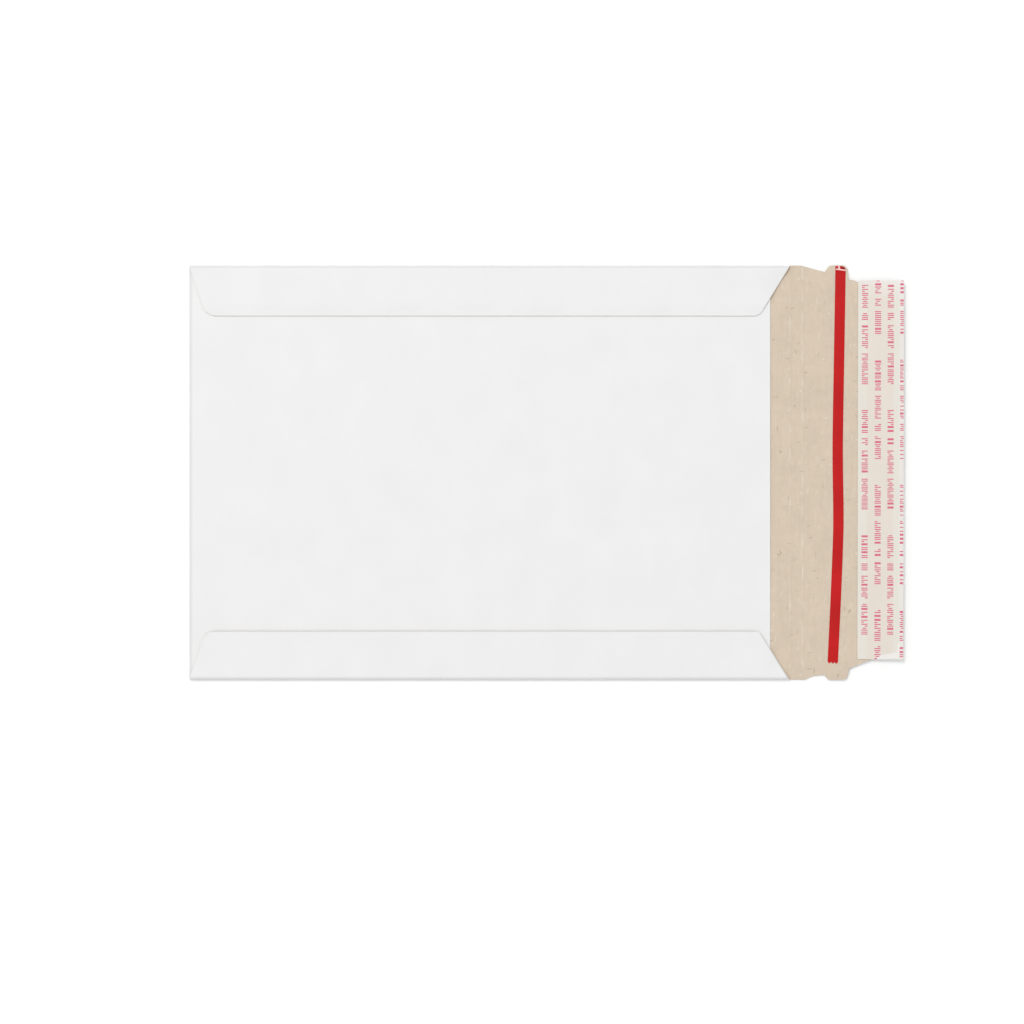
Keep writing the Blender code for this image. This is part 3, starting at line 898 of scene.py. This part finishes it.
def build_sheet(name, flat, levels, edge_radius, place, materials, face_slots):
    """Give flat triangles a thickness with rounded edges, and carry them to their place.

    face_slots holds the material slots of the lower face, the upper face, the shapes in the
    upper face and the rim.  Every vertex keeps its place in the flat sheet as an attribute.
    """
    places, triangles, held = flat
    bottom, top = levels
    lower_slot, upper_slot, shape_slot, rim_slot = face_slots
    rim, shifts = rim_of(places, triangles)
    used = sorted({corner for face in triangles for corner in face})
    vertices = [(*places[corner], level) for corner in used for level in (top, bottom)]
    upper = {corner: 2 * row for row, corner in enumerate(used)}
    lower = {corner: 2 * row + 1 for row, corner in enumerate(used)}
    profile = []
    for centre, first in ((top - edge_radius, 0.0), (bottom + edge_radius, math.pi / 2)):
        for step in range(EDGE_STEPS):
            turn = first + math.pi / 2 * (step if first else step + 1) / EDGE_STEPS
            profile.append((math.sin(turn), centre + math.cos(turn) * edge_radius))
    rings = {}
    for corner, shift in shifts.items():
        ring = []
        for out, level in profile:
            ring.append(len(vertices))
            vertices.append((*(places[corner] + shift * out * edge_radius), level))
        rings[corner] = [upper[corner], *ring, lower[corner]]
    faces, slots, borders = [], [], set()
    for corners, inside in zip(triangles, held):
        faces.append([upper[corner] for corner in corners])
        slots.append(shape_slot if inside else upper_slot)
        faces.append([lower[corner] for corner in reversed(corners)])
        slots.append(lower_slot)
    for a, b in rim:
        borders |= {frozenset((upper[a], upper[b])), frozenset((lower[a], lower[b]))}
        first, second = rings[a], rings[b]
        for level in range(len(first) - 1):
            faces.append([first[level + 1], second[level + 1], second[level], first[level]])
            slots.append(rim_slot)
    mesh = bpy.data.meshes.new(name)
    mesh.from_pydata([place(*vertex) for vertex in vertices], [], faces)
    mesh.polygons.foreach_set("material_index", slots)
    mesh.polygons.foreach_set("use_smooth", [True] * len(faces))
    sharp = mesh.attributes.new("sharp_edge", "BOOLEAN", "EDGE")
    sharp.data.foreach_set("value", [frozenset(key) in borders for key in mesh.edge_keys])
    flat_place = mesh.attributes.new("flat_place", "FLOAT_VECTOR", "POINT")
    flat_place.data.foreach_set("vector", [value for vertex in vertices for value in vertex])
    for material in materials:
        mesh.materials.append(material)
    mesh.update()
    piece = linked(name, mesh)
    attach(piece, "root")
    return piece


def build_film(name, outline, lines, shapes, bottom, film, place, materials, face_slots):
    """Build a thin sheet whose edges are rounded by a share of its thickness."""
    edge_radius = film * FILM_EDGE
    flat = triangulate(outline, edge_radius, lines, shapes)
    levels = (bottom, bottom + film)
    return build_sheet(name, flat, levels, edge_radius, place, materials, face_slots)


def add(tree, kind, inputs=(), **settings):
    """Add a shader node with its settings, fill its inputs, and return its first output.

    inputs holds values or sockets, either by name or in the order of the node's own.
    """
    node = tree.nodes.new("ShaderNode" + kind)
    for name, value in settings.items():
        setattr(node, name, value)
    if isinstance(inputs, dict):
        filled = [(node.inputs[name], value) for name, value in inputs.items()]
    else:
        filled = zip([socket for socket in node.inputs if socket.enabled], inputs)
    for socket, value in filled:
        if isinstance(value, bpy.types.NodeSocket):
            tree.links.new(value, socket)
        else:
            socket.default_value = value
    return next(socket for socket in node.outputs if socket.enabled)


def new_tree(name):
    """Material with an empty node tree."""
    material = bpy.data.materials.new(name)
    material.use_nodes = True
    material.node_tree.nodes.clear()
    return material, material.node_tree


def flat_tree(name):
    """New material, its tree, and the place in the flat sheet in millimetres.

    A pattern that is laid out by that place follows the folds.
    """
    material, tree = new_tree(name)
    flat = add(tree, "Attribute", attribute_name="flat_place").node.outputs["Vector"]
    return material, tree, add(tree, "VectorMath", [flat, 1 / MM], operation="SCALE")


def complete(material, base, height, roughness, depth, specular=0.5):
    """Finish a material with its shader; depth is what the height stands for in millimetres."""
    tree = material.node_tree
    normal = add(tree, "Bump", {"Height": height, "Distance": depth * MM})
    shader = add(tree, "BsdfPrincipled", {
        "Base Color": base, "Roughness": roughness, "Normal": normal,
        "Specular IOR Level": specular})
    output = tree.nodes.new("ShaderNodeOutputMaterial")
    tree.links.new(shader, output.inputs["Surface"])
    return material


def cloud(tree, place, spacing, low, high, detail=2.0):
    """Cloudy value between low and high, its clouds spacing millimetres long along u, v and w."""
    near = add(tree, "VectorMath", [place, spacing], operation="DIVIDE")
    value = add(tree, "TexNoise", {"Vector": near, "Scale": 1.0, "Detail": detail})
    return add(tree, "MapRange", [value, *NOISE_RANGE, low, high])


def toned(tree, paint, grain, low, high):
    """Colour whose depth follows a grain from 0 to 1, between two shares of its own."""
    tone = add(tree, "MapRange", [grain, 0.0, 1.0, low, high])
    return add(tree, "VectorMath", [paint[:3], tone], operation="SCALE")


def scattered(tree, place, length, width, per_cm2, turn):
    """Mask of specks or fibres of a length and width in millimetres, of varied strength."""
    spacing = 10 / math.sqrt(per_cm2 * length * width)
    cell = (length * spacing, width * spacing, 1.0)
    shift = SPECK_SHIFT * length + turn
    turned = add(tree, "Mapping", [place, (shift, shift, 0.0), (0.0, 0.0, turn), cell],
                 vector_type="TEXTURE")
    away = add(tree, "TexVoronoi", {"Vector": turned, "Scale": 1.0}, voronoi_dimensions="2D")
    spot = add(tree, "MapRange", [away, SPECK_RIM / spacing, SPECK_CORE / spacing, 0.0, 1.0])
    strength = add(tree, "SeparateColor", [away.node.outputs["Color"]])
    return add(tree, "Math", [spot, strength], operation="MULTIPLY")


def near_line(tree, value, line, reach):
    """Mask around the places where a value in millimetres comes near a line's own."""
    away = add(tree, "Math", [value, line / MM], operation="SUBTRACT")
    away = add(tree, "Math", [away], operation="ABSOLUTE")
    return add(tree, "MapRange", [away, reach, reach * LINE_CORE, 0.0, 1.0])


def streaked(tree, place, start, end, width):
    """Mask of a soft-edged streak between two ends on a flat sheet."""
    first = start.to_3d() / MM
    along = (end - start).to_3d() / MM
    level = add(tree, "VectorMath", [place, (1.0, 1.0, 0.0)], operation="MULTIPLY")
    off = add(tree, "VectorMath", [level, first], operation="SUBTRACT")
    reach = add(tree, "VectorMath", [off, along], operation="DOT_PRODUCT").node.outputs["Value"]
    share = add(tree, "MapRange", [reach, 0.0, along.length_squared, 0.0, 1.0])
    nearest = add(tree, "VectorMath", [along, share], operation="SCALE")
    away = add(tree, "VectorMath", [off, nearest], operation="DISTANCE").node.outputs["Value"]
    half = width / MM / 2
    rim, core = half * (1 + STREAK_BLUR), half * (1 - STREAK_BLUR)
    return add(tree, "MapRange", [away, rim, core, 0.0, STREAK_STRENGTH])


def white_liner(board, blank):
    """Material of the outside of the board."""
    # Bleached liner, machine-finished: a satin off-white whose fibres, drawn coarse enough to
    # show, clump in faint clouds, with painted shade in a thin line just inside each fold and a
    # painted shadow along the right lap's free edge and its slanted mouth end
    folds = blank.folds
    material, tree, place = flat_tree("white_liner_machine_finished")
    clouds = cloud(tree, place, (14.0, 18.0, 14.0), 0.988, 1.012)
    fibres = cloud(tree, place, (0.5, 0.35, 0.5), 0.0, 1.0, 4.0)
    base = add(tree, "VectorMath", [board.outside[:3], clouds], operation="SCALE")
    along = add(tree, "SeparateXYZ", [place]).node.outputs
    across = add(tree, "Math", [along["Y"]], operation="ABSOLUTE")
    # Painted shade inside the folds, and painted shadow along the right lap's free edges
    side = near_line(tree, across, blank.turn_over - SHADE_LINE_INSET, SIDE_FOLD_SHADE)
    bend_end = folds.bottom_fold - folds.bottom_bend
    bottom = near_line(tree, along["X"], bend_end - SHADE_LINE_INSET, BOTTOM_FOLD_SHADE)
    fold_shade = add(tree, "Math", [side, bottom], operation="MAXIMUM")
    lap_edge_shade = near_line(tree, along["Y"], -blank.lap_edge(-1), LAP_EDGE_SHADE)
    slant_shade = streaked(tree, place, *blank.mouth_slant(-1), SLANT_SHADE_WIDTH)
    edge_shade = add(tree, "Math", [lap_edge_shade, slant_shade], operation="MAXIMUM")
    painted_light_line = add(tree, "Math", [edge_shade, EDGE_SHADE_STRENGTH, fold_shade], operation="MULTIPLY_ADD")
    shade_tone = add(tree, "MapRange", [painted_light_line, 0.0, FULL_SHADE, 1.0, SHADED_TONE])
    base = add(tree, "VectorMath", [base, shade_tone], operation="SCALE")
    roughness = add(tree, "MapRange", [fibres, 0.0, 1.0, 0.5, 0.6])
    return complete(material, base, fibres, roughness, depth=0.01)


def recycled_inside(board, folds):
    """Material of the inside of the board."""
    # Recycled solid board, uncoated: matt grey-brown with mottling, grain, specks and fibres, and
    # paler in broken lines along the scores, rubbed fibres with a painted highlight on each bead
    material, tree, place = flat_tree("recycled_solid_board_uncoated")
    fine = cloud(tree, place, (0.7, 1.0, 0.7), 0.0, 1.0, 3.0)
    tone = add(tree, "MapRange", [fine, 0.0, 1.0, 0.98, 1.02])
    for spacing, depth in MOTTLING:
        clouds = cloud(tree, place, spacing, 1 - depth, 1 + depth)
        tone = add(tree, "Math", [tone, clouds], operation="MULTIPLY")
    base = add(tree, "VectorMath", [board.inside[:3], tone], operation="SCALE")
    scaled = add(tree, "VectorMath", [place, 1 / SPECK_BEND_LENGTH], operation="SCALE")
    drift = add(tree, "TexNoise", {"Vector": scaled, "Scale": 1.0}).node.outputs["Color"]
    bent = add(tree, "VectorMath", [drift, SPECK_BEND, place], operation="MULTIPLY_ADD")
    for *shape, pale in SPECKS:
        mask = scattered(tree, bent, *shape)
        paint = board.pale_speck if pale else board.dark_speck
        base = add(tree, "Mix", [mask, base, paint[:]], data_type="RGBA")
    along = add(tree, "SeparateXYZ", [place])
    broken = cloud(tree, place, (1.5, 6.0, 1.5), -0.6, 0.8)
    # Paler broken lines along the scores: rubbed fibres and a painted highlight on each bead
    for score in folds.scores:
        painted_light_line = near_line(tree, along, score, SCORE_WEAR_AND_HIGHLIGHT)
        painted_light_line = add(tree, "Math", [painted_light_line, broken], operation="MULTIPLY", use_clamp=True)
        base = add(tree, "Mix", [painted_light_line, base, board.painted_light_line[:]], data_type="RGBA")
    return complete(material, base, fine, roughness=0.9, depth=0.03)


def die_cut_edge(board):
    """Material of the cut edges of the board."""
    # Die-cut solid board: grey-brown plies under a thin white line, fuzzy and matt
    material, tree, place = flat_tree("die_cut_solid_board")
    plies = cloud(tree, place, (1.5, 1.5, 0.05), 0.0, 1.0, 3.0)
    core = toned(tree, board.core, plies, 0.86, 1.1)
    depth = add(tree, "SeparateXYZ", [place]).node.outputs["Z"]
    outer = -board.thickness / MM / 2
    liner = [outer + end for end in LINER_DEPTH]
    liner = add(tree, "MapRange", [depth, *liner, 0.0, 1.0])
    base = add(tree, "Mix", [liner, core, board.outside[:]], data_type="RGBA")
    return complete(material, base, plies, roughness=0.95, depth=0.02)


def red_film(tape, shade, creases):
    """Material of the tear tape."""
    # Oriented polypropylene dyed red: glossy, with draw lines, whitened with a painted highlight
    # where it is creased, and painted shade on the film past the crease
    material, tree, place = flat_tree("red_polypropylene_drawn")
    patches = cloud(tree, place, (30.0, 12.0, 30.0), 0.93, 1.07)
    draw = cloud(tree, place, (0.35, 12.0, 0.35), 0.0, 1.0)
    base = add(tree, "VectorMath", [tape.film_colour[:3], patches], operation="SCALE")
    # Painted shade past the crease, and a painted highlight with whitening along each crease
    paints = [(shade, tape.shade_colour)] + [(crease, tape.crease_whitening_and_highlight) for crease in creases]
    for ends_and_width, paint in paints:
        mask = streaked(tree, place, *ends_and_width)
        base = add(tree, "Mix", [mask, base, paint[:]], data_type="RGBA")
    roughness = add(tree, "MapRange", [draw, 0.0, 1.0, 0.26, 0.38])
    return complete(material, base, draw, roughness, depth=0.004, specular=0.1)


def glassine(paper, folds, highlight_streaks):
    """Material of the release paper."""
    # Silicone-coated glassine, supercalendered: satin, deeper in colour where glue wets it, with
    # painted highlights at the bent corner and along the upper end, and whitened along the crease
    material, tree, place = flat_tree("glassine_silicone_coated")
    clouds = cloud(tree, place, (8.0, 14.0, 8.0), 0.985, 1.015)
    fibres = cloud(tree, place, (0.4, 0.4, 0.4), 0.0, 1.0, 3.0)
    along = add(tree, "SeparateXYZ", [place])
    start = (folds.score + paper.adhesive_start) / MM
    end = start + paper.adhesive_width / MM
    board_end = folds.flap_end / MM
    inner, outer, beyond = (
        add(tree, "MapRange", [along, line - blur, line + blur, 0.0, 1.0])
        for line, blur in ((start, ADHESIVE_BLUR), (end, -ADHESIVE_BLUR), (board_end, BOARD_BLUR))
    )
    wetted = add(tree, "Math", [inner, outer], operation="MULTIPLY")
    base = paper.edge_colour[:]
    for mask, paint in ((wetted, paper.bonded_colour), (beyond, paper.free_colour)):
        base = add(tree, "Mix", [mask, base, paint[:]], data_type="RGBA")
    base = add(tree, "VectorMath", [base, clouds], operation="SCALE")
    # Painted highlights at the bent corner and along the upper end, with whitening on the crease
    for ends_and_width in highlight_streaks:
        whitened = streaked(tree, place, *ends_and_width)
        base = add(tree, "Mix", [whitened, base, paper.bend_whitening_and_highlight[:]], data_type="RGBA")
    return complete(material, base, fibres, roughness=0.42, depth=0.005)


def pink_ink(paper):
    """Material of the printed marks."""
    # Flexographic ink on silicone: a thin pink film that pinholes
    material, tree, place = flat_tree("pink_ink_flexographic")
    holes = cloud(tree, place, (0.3, 0.3, 0.3), 0.0, 1.0)
    bare = add(tree, "MapRange", [holes, 0.5, 1.0, 0.0, 0.35])
    base = add(tree, "Mix", [bare, paper.ink_colour[:], paper.bonded_colour[:]], data_type="RGBA")
    return complete(material, base, holes, roughness=0.4, depth=0.003)


def tacky_adhesive(paper):
    """Material of the adhesive band."""
    # Hot-melt pressure-sensitive adhesive, roller-coated: straw-coloured, wet gloss, fine ribs
    material, tree, place = flat_tree("hot_melt_adhesive_roller_coated")
    ribs = cloud(tree, place, (0.6, 20.0, 0.6), 0.0, 1.0)
    base = toned(tree, paper.adhesive_colour, ribs, 0.94, 1.04)
    return complete(material, base, ribs, roughness=0.2, depth=0.02)


def dried_glue(paper):
    """Material of the glue in the side seams."""
    # Dextrin glue, dried between two sheets: a cream film with a dull skin and small craters
    material, tree = new_tree("dextrin_glue_dried")
    flat = add(tree, "TexCoord").node.outputs["Object"]
    place = add(tree, "VectorMath", [flat, 1 / MM], operation="SCALE")
    craters = cloud(tree, place, (1.5, 1.5, 1.5), 0.0, 1.0, 3.0)
    base = toned(tree, paper.glue_colour, craters, 0.93, 1.05)
    return complete(material, base, craters, roughness=0.55, depth=0.03)


def seen_directly(tree):
    """1 for what is seen, also in gloss or through glass, and 0 for what lights a surface."""
    paths = add(tree, "LightPath").node.outputs
    seen = add(tree, "Math", [paths["Is Camera Ray"], paths["Is Glossy Ray"]], operation="MAXIMUM")
    return add(tree, "Math", [seen, paths["Is Transmission Ray"]], operation="MAXIMUM")


def paper_sweep(studio):
    """Material of the floor."""
    # Matt background paper: even and pale, lifted to white in the picture, least of all beside
    # the envelope, where it keeps the shadow
    material, tree = new_tree("matt_background_paper")
    place = add(tree, "TexCoord").node.outputs["Object"]
    fibres = cloud(tree, place, (0.4, 0.4, 0.4), 0.0, 1.0)
    normal = add(tree, "Bump", {"Height": fibres, "Distance": 0.01 * MM})
    matt = add(tree, "BsdfDiffuse", {"Color": studio.floor_colour[:], "Normal": normal})
    away = add(tree, "VectorMath", [place], operation="LENGTH")
    glow = add(tree, "MapRange", [away, *GLOW_SPREAD, studio.floor_glow, studio.far_glow],
               interpolation_type="SMOOTHSTEP")
    glow = add(tree, "Math", [seen_directly(tree), glow], operation="MULTIPLY")
    lift = add(tree, "Emission", {"Strength": glow})
    surface = add(tree, "AddShader", [matt, lift])
    output = tree.nodes.new("ShaderNodeOutputMaterial")
    tree.links.new(surface, output.inputs["Surface"])
    return material


def soft_room(studio):
    """World whose light grows from the horizon to overhead, and which is white in the picture."""
    world = bpy.data.worlds.new("soft_room")
    world.use_nodes = True
    tree = world.node_tree
    tree.nodes.clear()
    towards = add(tree, "TexCoord").node.outputs["Generated"]
    height = add(tree, "SeparateXYZ", [towards]).node.outputs["Z"]
    light = add(tree, "MapRange", [height, 0.0, 1.0, studio.horizon, studio.sky])
    strength = add(tree, "Mix", [seen_directly(tree), light, 1.0])
    background = add(tree, "Background", {"Color": (1.0, 1.0, 1.0, 1.0), "Strength": strength})
    output = tree.nodes.new("ShaderNodeOutputWorld")
    tree.links.new(background, output.inputs["Surface"])
    return world


class ENVELOPE_OT_fold_board(bpy.types.Operator):
    """Cut, fold and finish the board"""

    bl_idname = "envelope.fold_board"
    bl_label = "Fold Board"

    def execute(self, context):
        board = context.scene.envelope_board
        folds = Folds(board)
        blank = Blank(folds)
        flat = triangulate(blank.outline(), board.edge_radius, blank.lines())
        half = board.thickness / 2
        materials = (white_liner(board, blank), recycled_inside(board, folds), die_cut_edge(board))
        piece = build_sheet("envelope_board", flat, (-half, half), board.edge_radius,
                            folds.place, materials, (0, 1, 1, 2))
        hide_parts("folded_board")
        return {"FINISHED"}


class ENVELOPE_OT_lay_tape(bpy.types.Operator):
    """Lay the red tear tape across the flap"""

    bl_idname = "envelope.lay_tape"
    bl_label = "Lay Tear Tape"

    def execute(self, context):
        settings = context.scene.envelope_tape
        board = context.scene.envelope_board
        tape = TearTape(Folds(board), settings)
        shade = streak(tape.folds.score, 0.0, *TAPE_SHADE)
        film = red_film(settings, shade, tape.creases())
        bottom = board.thickness / 2 + FILM_GAP
        piece = build_film("tear_tape", tape.outline(), tape.lines(), (), bottom, settings.film,
                           tape.place, (film,), (0, 0, 0, 0))
        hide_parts("tear_strip")
        return {"FINISHED"}


class ENVELOPE_OT_coat_adhesive(bpy.types.Operator):
    """Coat the adhesive band, and finish the glue in the side seams"""

    bl_idname = "envelope.coat_adhesive"
    bl_label = "Coat Adhesive and Seam Glue"

    def execute(self, context):
        paper = context.scene.envelope_paper
        folds = Folds(context.scene.envelope_board)
        low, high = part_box("flap_adhesive")
        left = folds.score + paper.adhesive_start
        right = left + paper.adhesive_width
        outline = bar_outline(left, right, low.y, high.y, ADHESIVE_CORNER)
        lines = crossed_lines(left, right, low.y, high.y, PAPER_CELL)
        bottom = folds.board.thickness / 2 + FILM_GAP
        piece = build_film("adhesive_band", outline, lines, (), bottom, paper.adhesive_film,
                           folds.place, (tacky_adhesive(paper),), (0, 0, 0, 0))
        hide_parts("flap_adhesive")
        glue = dried_glue(paper)
        for node in ("left_seam_glue", "right_seam_glue"):
            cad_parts[node].material_slots[0].material = glue
        return {"FINISHED"}


class ENVELOPE_OT_lay_paper(bpy.types.Operator):
    """Lay the printed release paper over the adhesive"""

    bl_idname = "envelope.lay_paper"
    bl_label = "Lay Release Paper"

    def execute(self, context):
        settings = context.scene.envelope_paper
        folds = Folds(context.scene.envelope_board)
        paper = ReleasePaper(folds, settings)
        highlight_streaks = [streak(folds.score, paper.low, *ends) for ends in PAPER_HIGHLIGHT_STREAKS]
        materials = (glassine(settings, folds, highlight_streaks), pink_ink(settings))
        bottom = folds.board.thickness / 2 + FILM_GAP + settings.adhesive_film + FILM_GAP
        piece = build_film("release_paper", paper.outline(), paper.lines(), paper.marks(), bottom,
                           settings.paper, paper.place, materials, (0, 0, 1, 0))
        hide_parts("release_liner")
        return {"FINISHED"}


class ENVELOPE_OT_set_stage(bpy.types.Operator):
    """Set the floor, the soft light and the camera"""

    bl_idname = "envelope.set_stage"
    bl_label = "Set Stage"

    def execute(self, context):
        scene = context.scene
        studio = scene.envelope_studio
        scene.view_settings.view_transform = "Standard"
        scene.world = soft_room(studio)
        self.add_floor(studio)
        self.add_lamp(studio)
        scene.camera = self.add_camera(studio)
        return {"FINISHED"}

    def add_floor(self, studio):
        """Wide flat floor just under the envelope."""
        half = FLOOR_HALF_WIDTH
        mesh = bpy.data.meshes.new("floor")
        corners = [(-half, -half, 0.0), (half, -half, 0.0), (half, half, 0.0), (-half, half, 0.0)]
        mesh.from_pydata(corners, [], [(0, 1, 2, 3)])
        mesh.materials.append(paper_sweep(studio))
        floor = linked("floor", mesh)
        floor.location.z = CAD_BOX[0].z - FLOOR_GAP

    def add_lamp(self, studio):
        """Large soft lamp high up, towards the upper left of the picture."""
        lamp = bpy.data.lights.new("soft_lamp", "AREA")
        lamp.size = studio.lamp_size
        lamp.energy = studio.lamp_power
        holder = linked("soft_lamp", lamp)
        holder.location = LAMP_DIRECTION * studio.lamp_distance
        holder.rotation_euler = LAMP_DIRECTION.to_track_quat("Z", "Y").to_euler()

    def add_camera(self, studio):
        """Camera that looks straight down."""
        camera = bpy.data.cameras.new("camera")
        camera.lens = studio.lens
        camera.sensor_width = SENSOR_WIDTH
        holder = linked("camera", camera)
        holder.location = (studio.camera_x, studio.camera_y, studio.camera_height)
        return holder


class VIEW3D_PT_envelope(bpy.types.Panel):
    """Settings of the envelope, and the buttons that build it"""

    bl_label = "Board Envelope"
    bl_space_type = "VIEW_3D"
    bl_region_type = "UI"
    bl_category = "Envelope"

    def draw(self, context):
        scene = context.scene
        for settings, operators in (
            (scene.envelope_board, [ENVELOPE_OT_fold_board]),
            (scene.envelope_tape, [ENVELOPE_OT_lay_tape]),
            (scene.envelope_paper, [ENVELOPE_OT_coat_adhesive, ENVELOPE_OT_lay_paper]),
            (scene.envelope_studio, [ENVELOPE_OT_set_stage]),
        ):
            box = self.layout.box()
            for name in type(settings).__annotations__:
                box.prop(settings, name)
            for operator in operators:
                box.operator(operator.bl_idname)


SETTINGS = {
    "envelope_board": EnvelopeBoardSettings,
    "envelope_tape": EnvelopeTapeSettings,
    "envelope_paper": EnvelopePaperSettings,
    "envelope_studio": EnvelopeStudioSettings,
}
CLASSES = (
    *SETTINGS.values(),
    ENVELOPE_OT_fold_board,
    ENVELOPE_OT_lay_tape,
    ENVELOPE_OT_coat_adhesive,
    ENVELOPE_OT_lay_paper,
    ENVELOPE_OT_set_stage,
    VIEW3D_PT_envelope,
)


def register():
    for kind in CLASSES:
        bpy.utils.register_class(kind)
    for name, kind in SETTINGS.items():
        setattr(bpy.types.Scene, name, PointerProperty(type=kind))


def unregister():
    for name in SETTINGS:
        delattr(bpy.types.Scene, name)
    for kind in reversed(CLASSES):
        bpy.utils.unregister_class(kind)


def main():
    register()
    bpy.ops.envelope.fold_board()
    bpy.ops.envelope.lay_tape()
    bpy.ops.envelope.coat_adhesive()
    bpy.ops.envelope.lay_paper()
    bpy.ops.envelope.set_stage()


if __name__ == "__main__":
    main()
